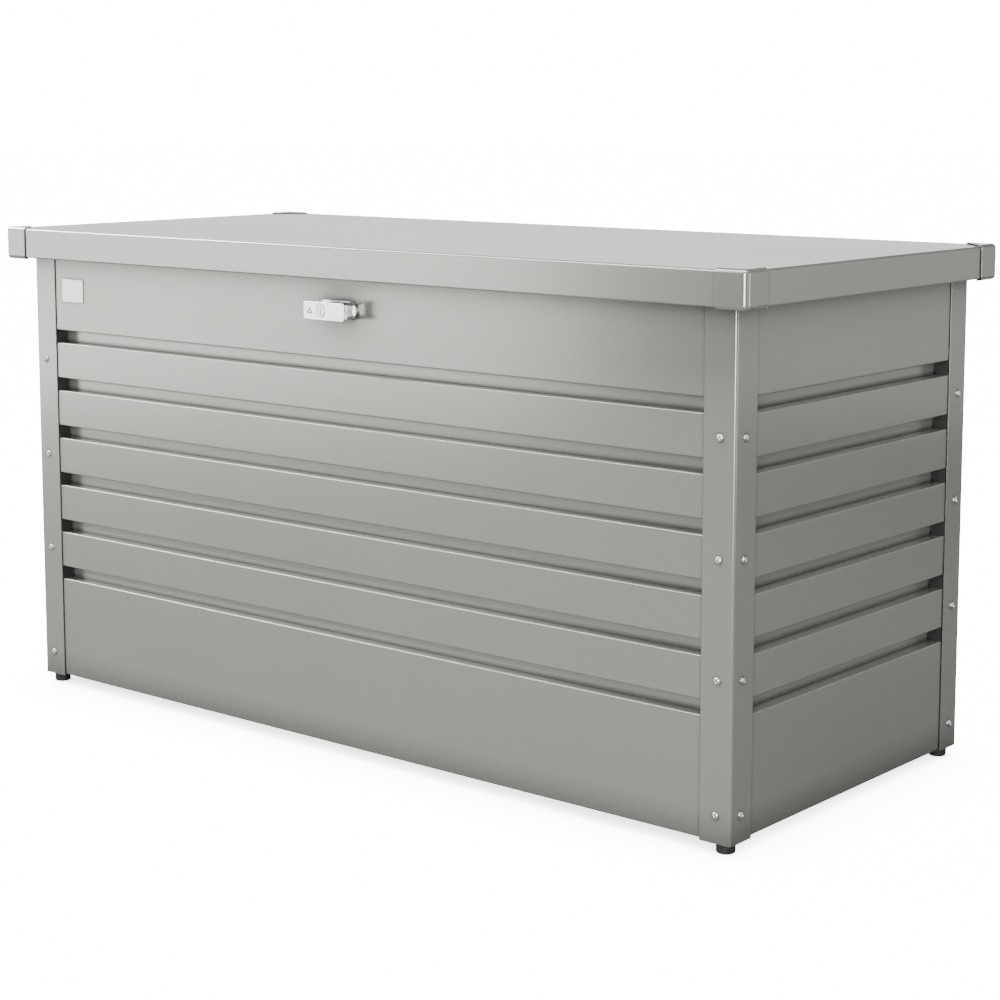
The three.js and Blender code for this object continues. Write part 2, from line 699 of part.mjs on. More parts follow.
// Places along Y, from the knob's face to the tip of its shaft.
const wallY = -wallFaceY
const knobFaceY = -BODY_D / 2 - KNOB_REACH
const barBackY = knobFaceY + KNOB_BAR_T
const rosetteFrontY = wallY - GAP - ROSETTE_T
const neckEndY = rosetteFrontY + NECK_RECESS
const camY = wallY + CAM_INSET
const lockBar = (radius, from, to, sides = 20) => bar('y', radius, from, to, KNOB_X, knobZ, sides)

function lockOutline(left, right, height, radius) {
  const [low, high] = [knobZ - height / 2, knobZ + height / 2]
  return roundedRectangle(KNOB_X + left, KNOB_X + right, low, high, radius)
}

// A flat flange on the wall with a thick block beside the knob's neck.
function rosette() {
  const back = wallY - GAP
  const flange = lockOutline(-ROSETTE_LEFT, ROSETTE_RIGHT, ROSETTE_H, ROSETTE_H / 2 - 0.01)
  const side = lockOutline(BLOCK_LEFT, BLOCK_RIGHT, BLOCK_H, BLOCK_CORNER_R)
  return cut(
    union(prism('y', flange, rosetteFrontY, back), prism('y', side, barBackY + KNOB_PLAY, back)),
    lockBar(KNOB_NECK_R + SLIDE, barBackY, neckEndY),
    lockBar(SHAFT_R + SLIDE, rosetteFrontY, wallY + 1),
  )
}

function turnKnob() {
  const grip = lockOutline(-KNOB_LEFT, KNOB_RIGHT, KNOB_H, KNOB_CORNER_R)
  const camNutEnd = camY + CAM_T + 2 * GAP + CAM_NUT_T
  return cut(
    union(
      prism('y', grip, knobFaceY, barBackY),
      lockBar(KNOB_NECK_R, barBackY - 1, neckEndY - GAP),
      lockBar(SHAFT_R, barBackY, camY - GAP),
      lockBar(SHAFT_TIP_R, camY - 1, camNutEnd + 1),
    ),
    lockBar(BARREL_R + GAP, knobFaceY - 1, knobFaceY + BARREL_T + GAP),
  )
}

function lockPlug() {
  const back = knobFaceY + BARREL_T - GAP
  const [w, h] = [KEY_SLOT_W / 2, KEY_SLOT_H / 2]
  const slot = block(KNOB_X - w, KNOB_X + w, knobFaceY - 1, knobFaceY + KEY_SLOT_DEPTH,
    knobZ - h, knobZ + h)
  return cut(lockBar(PLUG_R, knobFaceY + GAP, back), slot)
}

// The cam stands up from the shaft when the lid is free and lies across it when turned.
function lockCam() {
  const w = CAM_W / 2
  const arm = roundedRectangle(KNOB_X - w, KNOB_X + w, knobZ - w - 2, knobZ + CAM_LENGTH, w - 1)
  return cut(prism('y', arm, camY, camY + CAM_T), lockBar(SHAFT_TIP_R + GAP, camY - 1, camY + CAM_T + 1))
}

// The keeper hangs from the lid beside the lock. The turned cam reaches through its window.
function lockKeeper() {
  const x0 = KNOB_X + KEEPER_X
  const middle = camY + CAM_T / 2
  const [y0, y1] = [middle - KEEPER_W / 2, middle + KEEPER_W / 2]
  const windowLow = knobZ - CAM_W / 2 - KEEPER_PLAY
  const windowTop = knobZ + CAM_LENGTH + KEEPER_PLAY
  const side = 3
  return cut(
    union(
      block(x0, x0 + KEEPER_T, y0, y1, windowLow - KEEPER_BAR, underLid),
      block(x0, x0 + KEEPER_FLANGE, y0, y1, underLid - KEEPER_T, underLid),
    ),
    block(x0 - 1, x0 + KEEPER_T + 1, y0 + side, y1 - side, windowLow, windowTop),
  )
}

const nutY = -insideY
put('lock_rosette', rosette(), satinChrome)
put('lock_housing', cut(
  lockBar(HOUSING_R, wallY, wallY + HOUSING_DEPTH),
  lockBar(SHAFT_R + SLIDE, wallY - 1, wallY + HOUSING_DEPTH + 1),
), satinChrome)
put('lock_nut', cut(
  lockBar(NUT_R, nutY, nutY + NUT_T, 6),
  lockBar(HOUSING_R + GAP, nutY - 1, nutY + NUT_T + 1),
), zincSteel)
put('turn_knob', turnKnob(), satinChrome)
put('lock_barrel', cut(
  lockBar(BARREL_R, knobFaceY, knobFaceY + BARREL_T),
  lockBar(PLUG_R + SLIDE, knobFaceY - 1, knobFaceY + BARREL_T + 1),
), satinChrome)
put('lock_plug', lockPlug(), satinChrome)
put('lock_cam', lockCam(), zincSteel)
const camNutY = camY + CAM_T + GAP
put('cam_nut', cut(
  lockBar(CAM_NUT_R, camNutY, camNutY + CAM_NUT_T, 6),
  lockBar(SHAFT_TIP_R + GAP, camNutY - 1, camNutY + CAM_NUT_T + 1),
), zincSteel)
put('lock_keeper', lockKeeper(), zincSteel)

// ---- label plate ----

const labelX = LABEL_INSET - BODY_W / 2
const labelZ = WALL_TOP - LABEL_DROP
const labelShape = roundedRectangle(labelX - LABEL_W / 2, labelX + LABEL_W / 2,
  labelZ - LABEL_H / 2, labelZ + LABEL_H / 2, LABEL_CORNER_R)
put('label_plate', prism('y', labelShape, wallY - GAP - LABEL_T, wallY - GAP), labelAlloy)

// The origin is on the ground under the middle of the whole object.
const front = -BODY_D / 2 - KNOB_REACH
const rear = lidRear + CAP_PROUD
model.position.y = -(front + rear) / 2

export default model
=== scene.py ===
"""Looks of a sheet-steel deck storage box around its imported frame.

Metres, +Z up, the front faces -Y. Sizes come from the frame's nodes; what the frame doesn't
hold, such as fold radii and screw heads, is a named value below, in millimetres times MM.
"""

import math

import bmesh
import bpy
from mathutils import Matrix, Vector


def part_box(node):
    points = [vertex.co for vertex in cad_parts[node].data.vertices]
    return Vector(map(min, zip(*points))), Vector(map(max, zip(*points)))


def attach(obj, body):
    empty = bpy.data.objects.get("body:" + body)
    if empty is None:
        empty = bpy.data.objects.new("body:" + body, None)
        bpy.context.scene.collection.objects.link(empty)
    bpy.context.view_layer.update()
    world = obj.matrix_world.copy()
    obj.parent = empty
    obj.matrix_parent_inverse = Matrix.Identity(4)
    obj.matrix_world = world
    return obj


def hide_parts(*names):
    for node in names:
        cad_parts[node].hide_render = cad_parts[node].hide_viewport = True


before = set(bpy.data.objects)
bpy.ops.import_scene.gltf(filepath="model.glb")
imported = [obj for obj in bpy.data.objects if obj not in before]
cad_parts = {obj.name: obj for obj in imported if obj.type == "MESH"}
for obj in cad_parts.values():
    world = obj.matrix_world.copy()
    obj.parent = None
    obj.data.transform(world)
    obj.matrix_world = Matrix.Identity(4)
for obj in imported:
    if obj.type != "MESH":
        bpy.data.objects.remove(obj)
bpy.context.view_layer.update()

MM = 0.001
ARC_STEPS = 6

# Camera: a long lens a little above the lid, looking at the front and the right-hand end.
CAMERA_PLACE = Vector((2.0439, -2.3805, 0.8944))
CAMERA_AZIMUTH = 39.877
CAMERA_ELEVATION = 7.497
CAMERA_LENS = 79.189
CAMERA_SHIFT_Y = -0.11

# Knob
KNOB_SINK = 0.3 * MM
KNOB_BAR_T = 7 * MM
KNOB_CORNER = 4 * MM
NECK_R = 10 * MM
NECK_CLEAR = 2.3 * MM
SHAFT_R = 6 * MM
SHAFT_TIP_R = 4 * MM
GAP = 0.3 * MM
BARREL_CLEAR = 0.15 * MM
KNOB_RIM = 1.3 * MM
KNOB_BACK_EDGE = 0.4 * MM
KNOB_HOLE_EDGE = 0.7 * MM
TRIANGLE_INSET = 12 * MM
TRIANGLE_DROP = 0.6 * MM
TRIANGLE_OUTER = 5.6 * MM
TRIANGLE_INNER = 3.1 * MM
TRIANGLE_FRONT = -0.2 * MM
TRIANGLE_BACK = 0.1 * MM

# Light that the surround gives, evenly and from its band, and what the camera sees of it
SURROUND = 0.08
HORIZON = 1.9
BACKDROP = 20

# Floor: its half width, the reach of the contact shade, and its glow in the shade and clear of it
FLOOR_HALF = 30
CONTACT_REACH = 0.12
CONTACT_GLOW = 1.6
FLOOR_GLOW = 16

OVERHEAD_X = -1.2
SENSOR_WIDTH = 36

# How far the paint's painted crease shade and its painted shade under other parts look for something
# that covers them
CREASE_SHADE_REACH = 7 * MM
SHADE_REACH = 60 * MM

# Sheet work
SHEET = 1.0 * MM
POST_SHEET = 1.5 * MM
BEND = 0.6 * MM
POST_BEND = 2.2 * MM
SHEET_EDGE = 0.5 * MM
WALL_HEM = 9 * MM
GROOVE_COUNT = 6
GROOVE_TOP_DROP = 139.2 * MM
GROOVE_PITCH = 72.75 * MM
GROOVE_HEIGHT = 19.4 * MM
GROOVE_COVER = 1.5 * MM
# Black blocks at the groove ends, painted shade where each groove's end lies in shade: their thickness
# and set-back
SHADE_BLOCK_T = 1.2 * MM
SHADE_BLOCK_SET_BACK = 1 * MM
SCREW_TAB = 26 * MM

# Lid
LID_SHEET = 1.2 * MM
LID_FOLD = 3.6 * MM
LID_ROLL = 2.2 * MM
LID_RETURN = 5 * MM
LID_CORNER = 7 * MM
LID_FLAT_INSET = 40 * MM
CAP_CORNER = 8 * MM
CAP_EDGE = 6 * MM
CAP_WALL = 1.7 * MM
CAP_LIP = 8 * MM
CAP_GAP = 0.3 * MM
CAP_SOFT = 0.8 * MM
CAP_LEAST_RADIUS = 0.3 * MM

# Screws
SCREW_OFFSET = 21.5 * MM
SCREW_HEIGHT = 49 * MM
SCREW_R = 4.6 * MM
SCREW_H = 2.7 * MM
SCREW_RECESS_R = 1.7 * MM
SCREW_RECESS = 1.3 * MM
SCREW_LOBE_LIMIT = 1.9 * MM
SCREW_SEAT = 0.6 * MM
SCREW_RIM = 0.3 * MM

# Feet
PAD_EDGE = 3 * MM
PAD_TOP_EDGE = 1.5 * MM
PAD_GROOVE = 0.5 * MM
PAD_GROOVE_HEIGHTS = (6 * MM, 9 * MM)
THREAD_DEPTH = 0.75 * MM
THREAD_PITCH = 1.5 * MM
THREAD_CHAMFER = 0.6 * MM

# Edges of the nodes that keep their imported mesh
EDGE = 0.3 * MM
EDGES = {"lock_rosette": 0.8 * MM, "lock_barrel": 0.6 * MM, "label_plate": 0.35 * MM}
WELD_REACH = 0.01 * MM


# ---- outlines ----


def rounded_path(corners, radius_at, steps):
    """Points of a 2-D path whose corners are rounded, each by radius_at(turn angle)."""
    points = [Vector(corners[0])]
    for before, corner, after in zip(corners, corners[1:], corners[2:]):
        along = (Vector(corner) - Vector(before)).normalized()
        onward = (Vector(after) - Vector(corner)).normalized()
        turn = math.atan2(along.x * onward.y - along.y * onward.x, along.dot(onward))
        radius = radius_at(turn)
        start = Vector(corner) - along * radius * math.tan(abs(turn) / 2)
        side = math.copysign(1, turn)
        centre = start + Vector((-along.y, along.x)) * radius * side
        for k in range(steps + 1):
            spoke = start - centre
            spoke.rotate(Matrix.Rotation(turn * k / steps, 2))
            points.append(centre + spoke)
    points.append(Vector(corners[-1]))
    return points


def folded_sheet(corners, thickness, bend, steps=ARC_STEPS):
    """Face and back of a folded sheet as two paths of equal length, the back on the left."""
    path = [Vector(c) for c in corners]
    back = []
    for i, point in enumerate(path):
        before = (point - path[i - 1] if i else path[1] - point).normalized()
        after = (path[i + 1] - point if i + 1 < len(path) else before).normalized()
        normal = Vector((-before.y - after.y, before.x + after.x)).normalized()
        back.append(point + normal * (thickness / normal.dot(Vector((-before.y, before.x)))))
    face = rounded_path(path, lambda turn: bend + thickness if turn > 0 else bend, steps)
    rear = rounded_path(back, lambda turn: bend if turn > 0 else bend + thickness, steps)
    return face, rear


def rounded_rectangle(x0, x1, y0, y1, radius, steps=ARC_STEPS):
    """Points round a rectangle with round corners, anticlockwise."""
    radius = max(radius, 0.05 * MM)
    corners = ((x1, y1, 0), (x0, y1, 1), (x0, y0, 2), (x1, y0, 3))
    points = []
    for x, y, quarter in corners:
        cx = x - math.copysign(radius, x - (x0 + x1) / 2)
        cy = y - math.copysign(radius, y - (y0 + y1) / 2)
        for k in range(steps + 1):
            angle = math.pi / 2 * (quarter + k / steps)
            points.append(Vector((cx + radius * math.cos(angle), cy + radius * math.sin(angle))))
    return points


def arc(cx, cy, radius, start, end, steps=ARC_STEPS):
    """Points on an arc between two angles in degrees."""
    angles = [math.radians(start + (end - start) * k / steps) for k in range(steps + 1)]
    return [Vector((cx + radius * math.cos(a), cy + radius * math.sin(a))) for a in angles]


def toward(azimuth, elevation):
    """The unit vector to a place; azimuth 0 is in front of the deck box, 90 to its right."""
    a, e = math.radians(azimuth), math.radians(elevation)
    return Vector((math.sin(a) * math.cos(e), -math.cos(a) * math.cos(e), math.sin(e)))


# ---- meshes ----


def make_object(name, mesh_data, sharp=35):
    """An object from a bmesh, shaded smooth except over edges sharper than the angle."""
    bmesh.ops.recalc_face_normals(mesh_data, faces=mesh_data.faces)
    mesh = bpy.data.meshes.new(name)
    mesh_data.to_mesh(mesh)
    mesh_data.free()
    for polygon in mesh.polygons:
        polygon.use_smooth = True
    mesh.set_sharp_from_angle(angle=math.radians(sharp))
    piece = bpy.data.objects.new(name, mesh)
    bpy.context.scene.collection.objects.link(piece)
    return piece


def soften(piece, width, segments=2, angle=40):
    """Rounds the piece's sharp edges and evens its shading."""
    bevel = piece.modifiers.new("edge", "BEVEL")
    bevel.width = width
    bevel.segments = segments
    bevel.limit_method = "ANGLE"
    bevel.angle_limit = math.radians(angle)
    bevel.harden_normals = False
    even_shading(piece)
    return piece


def even_shading(piece):
    """Weighs the shading by the area of the faces, so that large ones look flat."""
    normals = piece.modifiers.new("shading", "WEIGHTED_NORMAL")
    normals.keep_sharp = True
    normals.weight = 100
    return piece


def ring_solid(name, rings, sharp=35):
    """A closed solid through rings of equal length, its first and last ring filled."""
    bm = bmesh.new()
    made = [[bm.verts.new(p) for p in ring] for ring in rings]
    for low, high in zip(made, made[1:]):
        for i in range(len(low)):
            j = (i + 1) % len(low)
            bm.faces.new((low[i], low[j], high[j], high[i]))
    bm.faces.new(made[0])
    bm.faces.new(made[-1])
    return make_object(name, bm, sharp)


def sheet_solid(name, face, back, place, ends):
    """A folded sheet swept straight between two ends; place puts (2-D point, end) in space.

    Returns the bmesh, for more work, and its end faces."""
    bm = bmesh.new()
    stations = [
        ([bm.verts.new(place(p, end)) for p in face], [bm.verts.new(place(p, end)) for p in back])
        for end in ends
    ]
    caps = []
    for front, rear in stations:
        caps.append(
            [
                bm.faces.new((front[i], front[i + 1], rear[i + 1], rear[i]))
                for i in range(len(face) - 1)
            ]
        )
    (front0, rear0), (front1, rear1) = stations
    loop0, loop1 = front0 + rear0[::-1], front1 + rear1[::-1]
    for i in range(len(loop0)):
        j = (i + 1) % len(loop0)
        bm.faces.new((loop0[i], loop0[j], loop1[j], loop1[i]))
    return bm, caps


def lathe(name, profile, sides=32, sharp=35, wobble=None):
    """A closed turned body about Z from (radius, height) points that begin and end on the axis."""
    bm = bmesh.new()
    rings = []
    for radius, height in profile:
        if radius < 1e-7:
            rings.append([bm.verts.new((0, 0, height))])
            continue
        ring = []
        for k in range(sides):
            angle = 2 * math.pi * k / sides
            r = radius * (wobble(angle, radius, height) if wobble else 1)
            ring.append(bm.verts.new((r * math.cos(angle), r * math.sin(angle), height)))
        rings.append(ring)
    for low, high in zip(rings, rings[1:]):
        for k in range(sides):
            j = (k + 1) % sides
            corners = [low[k % len(low)], low[j % len(low)], high[j % len(high)], high[k % len(high)]]
            unique = list(dict.fromkeys(corners))
            if len(unique) > 2:
                bm.faces.new(unique)
    return make_object(name, bm, sharp)


def add_block(bm, size, at):
    """Adds a block of the given size, its middle at the given point."""
    made = bmesh.ops.create_cube(bm, size=1)["verts"]
    bmesh.ops.scale(bm, vec=size, verts=made)
    bmesh.ops.translate(bm, vec=at, verts=made)


def place(piece, matrix):
    """Moves the piece's own vertices, so that its object stays at the origin."""
    piece.data.transform(matrix)
    if matrix.determinant() < 0:
        piece.data.flip_normals()
    return piece


def axis_frame(origin, direction):
    """A matrix that takes +Z to the direction and the origin to the place."""
    turn = Vector(direction).to_track_quat("Z", "Y").to_matrix().to_4x4()
    return Matrix.Translation(origin) @ turn


def finish_piece(piece, material, slot, body, *stands_for):
    """Gives a piece its material and its body, and hides the nodes that it stands for; the slot is not
    used.
    """
    piece.data.materials.clear()
    piece.data.materials.append(material)
    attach(piece, body)
    if stands_for:
        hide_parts(*stands_for)
    return piece


# ---- materials ----


class Nodes:
    """A material's node tree with a few short ways of adding to it."""

    def __init__(self, name):
        self.material = bpy.data.materials.new(name)
        self.material.use_nodes = True
        self.tree = self.material.node_tree
        self.shader = self.tree.nodes["Principled BSDF"]
        self.coords = self.add("ShaderNodeTexCoord").outputs["Object"]

    def add(self, kind, **settings):
        node = self.tree.nodes.new(kind)
        for key, value in settings.items():
            setattr(node, key, value)
        return node

    def link(self, source, target):
        self.tree.links.new(source, target)

    def stretched(self, x, y, z):
        mapping = self.add("ShaderNodeMapping")
        mapping.inputs["Scale"].default_value = (x, y, z)
        self.link(self.coords, mapping.inputs["Vector"])
        return mapping.outputs["Vector"]

    def noise(self, scale, detail=2.0, rough=0.5, vector=None):
        node = self.add("ShaderNodeTexNoise")
        node.inputs["Scale"].default_value = scale
        node.inputs["Detail"].default_value = detail
        node.inputs["Roughness"].default_value = rough
        self.link(vector or self.coords, node.inputs["Vector"])
        return node.outputs["Fac"]

    def cells(self, scale):
        node = self.add("ShaderNodeTexVoronoi")
        node.inputs["Scale"].default_value = scale
        self.link(self.coords, node.inputs["Vector"])
        return node

    def openness(self, distance, only_local=False):
        """1 on an open surface, lower where something within the distance covers it."""
        node = self.add("ShaderNodeAmbientOcclusion", samples=4, only_local=only_local)
        node.inputs["Distance"].default_value = distance
        return node.outputs["AO"]

    def ramp(self, value, low, high, to_low, to_high):
        node = self.add("ShaderNodeMapRange")
        sockets = ("From Min", "From Max", "To Min", "To Max")
        for key, number in zip(sockets, (low, high, to_low, to_high)):
            node.inputs[key].default_value = number
        self.link(value, node.inputs["Value"])
        return node.outputs["Result"]

    def mix(self, factor, first, second):
        node = self.add("ShaderNodeMix", data_type="RGBA")
        self.link(factor, node.inputs["Factor"])
        for socket, colour in ((node.inputs[6], first), (node.inputs[7], second)):
            if isinstance(colour, tuple):
                socket.default_value = (*colour, 1)
            else:
                self.link(colour, socket)
        return node.outputs[2]

    def sum(self, first, second, operation="ADD"):
        node = self.add("ShaderNodeMath", operation=operation)
        self.link(first, node.inputs[0])
        if isinstance(second, (int, float)):
            node.inputs[1].default_value = second
        else:
            self.link(second, node.inputs[1])
        return node.outputs[0]

    def bump(self, height, strength, distance, after=None):
        node = self.add("ShaderNodeBump")
        node.inputs["Strength"].default_value = strength
        node.inputs["Distance"].default_value = distance
        self.link(height, node.inputs["Height"])
        if after is not None:
            self.link(after, node.inputs["Normal"])
        return node.outputs["Normal"]

    def set(self, **values):
        for key, value in values.items():
            socket = self.shader.inputs[key.replace("_", " ")]
            if isinstance(value, (int, float, tuple)):
                socket.default_value = (*value, 1) if isinstance(value, tuple) else value
            else:
                self.link(value, socket)
        return self.material


def scaled(colour, factor):
    return tuple(channel * factor for channel in colour)


def painted_steel(name, colour, metallic, rough):
    """Baked metallic paint: drifting tone, fine flake, faint orange peel, painted shade in creases and
    under other parts.
    """
    n = Nodes(name)
    drift = n.mix(n.ramp(n.noise(2.2, 3), 0.3, 0.7, 0, 1), scaled(colour, 0.97), scaled(colour, 1.03))
    flake = n.ramp(n.cells(1400).outputs["Color"], 0, 1, 0, 1)
    tone = n.mix(n.ramp(flake, 0.55, 1, 0, 0.12), drift, scaled(colour, 1.4))
    gloss = n.ramp(n.noise(4, 2, 0.4), 0.3, 0.7, rough - 0.008, rough + 0.008)
    glint = n.ramp(flake, 0.7, 1, 0, -0.03)
    # Painted shade: the paint turns darker in creases and beside edges that stand close in front of
    # it.
    crease_shade = n.ramp(n.openness(CREASE_SHADE_REACH), 0.45, 0.95, 1, 0)
    # Painted shade: the paint turns darker where another part, such as the lid, covers it within
    # SHADE_REACH.
    alone, among_others = n.openness(SHADE_REACH, only_local=True), n.openness(SHADE_REACH)
    shade_under_parts = n.sum(alone, among_others, "SUBTRACT")
    tone = n.mix(n.ramp(shade_under_parts, 0.03, 0.5, 0, 1), tone, scaled(colour, 0.3))
    tone = n.mix(crease_shade, tone, scaled(colour, 0.16))
    peel = n.bump(n.noise(220, 2), 0.06, 0.12 * MM)
    grain = n.bump(n.noise(1500, 1), 0.04, 0.04 * MM, peel)
    return n.set(
        Base_Color=tone, Metallic=metallic, Roughness=n.sum(gloss, glint), Normal=grain,
        Coat_Weight=0.08, Coat_Roughness=0.25,
    )


def moulded(name, colour, rough, grain):
    """Moulded plastic with a fine spark-eroded grain and rubbed patches."""
    n = Nodes(name)
    tone = n.mix(n.ramp(n.noise(60, 3), 0.35, 0.65, 0, 1), scaled(colour, 0.94), scaled(colour, 1.06))
    gloss = n.ramp(n.noise(90, 3, 0.6), 0.3, 0.7, rough - 0.05, rough + 0.05)
    skin = n.bump(n.noise(1800, 2), grain, 0.06 * MM)
    return n.set(Base_Color=tone, Roughness=gloss, Normal=skin)


def zinc_steel(name):
    """Hot-dip zinc: crystal spangle, each grain with its own tone and gloss."""
    n = Nodes(name)
    grains = n.cells(160)
    tone_value = n.ramp(grains.outputs["Color"], 0, 1, 0, 1)
    tone = n.mix(tone_value, (0.40, 0.41, 0.42), (0.62, 0.63, 0.64))
    dull = n.mix(n.ramp(n.noise(30, 4), 0.45, 0.75, 0, 0.5), tone, (0.34, 0.34, 0.335))
    gloss = n.ramp(tone_value, 0, 1, 0.46, 0.3)
    skin = n.bump(n.noise(900, 2), 0.1, 0.06 * MM, n.bump(tone_value, 0.05, 0.1 * MM))
    return n.set(Base_Color=dull, Metallic=0.9, Roughness=gloss, Normal=skin)


def brushed(name, colour, rough, along, metallic=1.0, strength=0.12):
    """Metal brushed or turned along one axis, with fingerprints in its gloss."""
    n = Nodes(name)
    stretch = {"x": (1, 60, 60), "y": (60, 1, 60), "z": (60, 60, 1)}[along]
    strands = n.noise(55, 4, 0.65, n.stretched(*stretch))
    tone = n.mix(n.ramp(strands, 0.3, 0.7, 0, 1), scaled(colour, 0.9), scaled(colour, 1.08))
    smudge = n.ramp(n.noise(45, 3), 0.4, 0.7, 0, 0.06)
    gloss = n.sum(n.ramp(strands, 0.3, 0.7, rough - 0.04, rough + 0.04), smudge)
    scratches = n.bump(strands, strength, 0.05 * MM)
    return n.set(Base_Color=tone, Metallic=metallic, Roughness=gloss, Normal=scratches)


PAINT = (0.325, 0.316, 0.290)
paint = painted_steel("painted_steel", PAINT, 0.6, 0.22)
cap_plastic = painted_steel("cap_finish", scaled(PAINT, 0.95), 0.6, 0.2)
zinc = zinc_steel("zinc_plated_steel")
chrome = brushed("satin_chrome", (0.86, 0.86, 0.87), 0.22, "x", strength=0.05)
screw_steel = brushed("screw_steel", (0.66, 0.65, 0.63), 0.28, "y")
label_alloy = brushed("label_alloy", (0.98, 0.98, 0.97), 0.38, "x", metallic=0.5, strength=0.15)
rod_chrome = brushed("rod_chrome", (0.75, 0.76, 0.78), 0.12, "z", strength=0.03)
black_lacquer = moulded("black_lacquer", (0.014, 0.014, 0.015), 0.32, grain=0.05)
black_rubber = moulded("black_rubber", (0.018, 0.018, 0.018), 0.55, grain=0.3)


# ---- walls ----

wall_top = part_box("front_wall")[1].z
groove_tops = [wall_top - GROOVE_TOP_DROP - i * GROOVE_PITCH for i in range(GROOVE_COUNT)]


def wall(name, half, face, turn):
    """A grooved wall facing -Y at the given distance, turned about Z to its side.

    A plate closes each groove's ends, and a black block stands in front of each plate as painted shade
    in the groove's end."""
    low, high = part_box(name)
    depth = min(high.x - low.x, high.y - low.y) - SHEET
    corners = [(0, high.z)]
    for top in groove_tops:
        bottom = top - GROOVE_HEIGHT
        corners += [(0, top), (depth, top), (depth, bottom), (0, bottom)]
    corners += [(0, low.z), (WALL_HEM, low.z)]
    front, back = folded_sheet(corners, SHEET, BEND)
    bm, caps = sheet_solid(name, front, back, lambda p, x: Vector((x, p.x - face, p.y)), (-half, half))
    for cap, sign in zip(caps, (-1, 1)):
        flat = [
            f for f in cap
            if all(v.co.y < SHEET * 1.01 - face for v in f.verts)
            and max(v.co.z for v in f.verts) - min(v.co.z for v in f.verts) > GROOVE_HEIGHT
        ]
        grown = bmesh.ops.extrude_face_region(bm, geom=flat)
        bmesh.ops.delete(bm, geom=flat, context="FACES_ONLY")
        moved = [g for g in grown["geom"] if isinstance(g, bmesh.types.BMVert)]
        bmesh.ops.translate(bm, verts=moved, vec=(sign * SCREW_TAB, 0, 0))
    # Black blocks in front of the end plates: painted shade in the groove ends, in black rubber.
    end_shade_mesh = bmesh.new()
    plate_size = Vector((SHEET, depth, GROOVE_HEIGHT + 2 * SHEET))
    plate_y = SHEET + depth / 2 - face
    shade_block_size = Vector((SHADE_BLOCK_T, depth - SHADE_BLOCK_SET_BACK, GROOVE_HEIGHT))
    shade_block_y = depth / 2 + SHADE_BLOCK_SET_BACK / 2 - face
    for top in groove_tops:
        z = top - GROOVE_HEIGHT / 2
        for sign in (-1, 1):
            add_block(bm, plate_size, Vector((sign * (half + SHEET / 2), plate_y, z)))
            add_block(end_shade_mesh, shade_block_size, Vector((sign * (half - SHADE_BLOCK_T / 2), shade_block_y, z)))
    centre = (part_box("post_front_left")[0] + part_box("post_rear_right")[1]) / 2
    turned = Matrix.Translation((centre.x, centre.y, 0)) @ Matrix.Rotation(turn, 4, "Z")
    end_shade_piece = make_object(f"groove_end_shading_{name}", end_shade_mesh)
    place(end_shade_piece, turned)
    finish_piece(end_shade_piece, black_rubber, "black_plastic", "root")
    piece = make_object(name + "_sheet", bm)
    place(piece, turned)
    soften(piece, SHEET_EDGE)
    return finish_piece(piece, paint, "painted_steel", "root", name)


post_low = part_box("post_front_left")[0]
post_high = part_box("post_rear_right")[1]
body_half_x = (post_high.x - post_low.x) / 2
body_half_y = (post_high.y - post_low.y) / 2
body_centre_y = (post_high.y + post_low.y) / 2
post_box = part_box("post_front_right")
flange = post_box[1].x - post_box[0].x
groove_end = flange - GROOVE_COVER
wall_face_y = body_centre_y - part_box("front_wall")[0].y
wall_face_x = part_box("right_wall")[1].x

wall("front_wall", body_half_x - groove_end, wall_face_y, 0)
wall("rear_wall", body_half_x - groove_end, wall_face_y, math.pi)
wall("right_wall", body_half_y - groove_end, wall_face_x, math.pi / 2)
wall("left_wall", body_half_y - groove_end, wall_face_x, -math.pi / 2)


# ---- posts and screws ----

CORNERS = {
    "front_right": (1, -1),
    "front_left": (-1, -1),
    "rear_right": (1, 1),
    "rear_left": (-1, 1),
}


def mirror(sign_x, sign_y):
    """Takes the front right corner to another one, about the middle of the body."""
    about = Matrix.Translation((0, body_centre_y, 0))
    return about @ Matrix.Diagonal((sign_x, -sign_y, 1, 1)) @ about.inverted()


def corner_post(where, signs):
    x, y = body_half_x, body_centre_y - body_half_y
    corners = [(x - flange, y), (x, y), (x, y + flange)]
    face, back = folded_sheet(corners, POST_SHEET, POST_BEND, 8)
    ends = (post_box[0].z, post_box[1].z)
    bm, _ = sheet_solid(where, face, back, lambda p, z: Vector((p.x, p.y, z)), ends)
    piece = place(make_object(f"post_{where}_angle", bm), mirror(*signs))
    soften(piece, SHEET_EDGE)
    finish_piece(piece, paint, "painted_steel", "root", f"post_{where}")


def screw(name, at, direction):
    """A pan-head screw with a six-lobed recess, its seat at the given point."""

    def lobes(angle, radius, height):
        return 1 + (0.16 * math.cos(6 * angle) if radius < SCREW_LOBE_LIMIT else 0)

    dome = [
        (SCREW_R * math.cos(a), SCREW_H * (0.25 + 0.75 * math.sin(a)))
        for a in [math.radians(d) for d in (0, 12, 24, 36, 47, 57)]
    ]
    profile = [
        (0, -SCREW_SEAT), (SCREW_R * 0.97, -SCREW_SEAT), (SCREW_R, -SCREW_RIM), *dome,
        (SCREW_RECESS_R * 1.1, SCREW_H * 0.985), (SCREW_RECESS_R, SCREW_H * 0.93),
        (SCREW_RECESS_R * 0.96, SCREW_H - SCREW_RECESS), (0, SCREW_H - SCREW_RECESS),
    ]
    piece = lathe(name, profile, 36, 50, lobes)
    place(piece, axis_frame(at, direction))
    even_shading(piece)
    return finish_piece(piece, screw_steel, "screw_steel", "root")


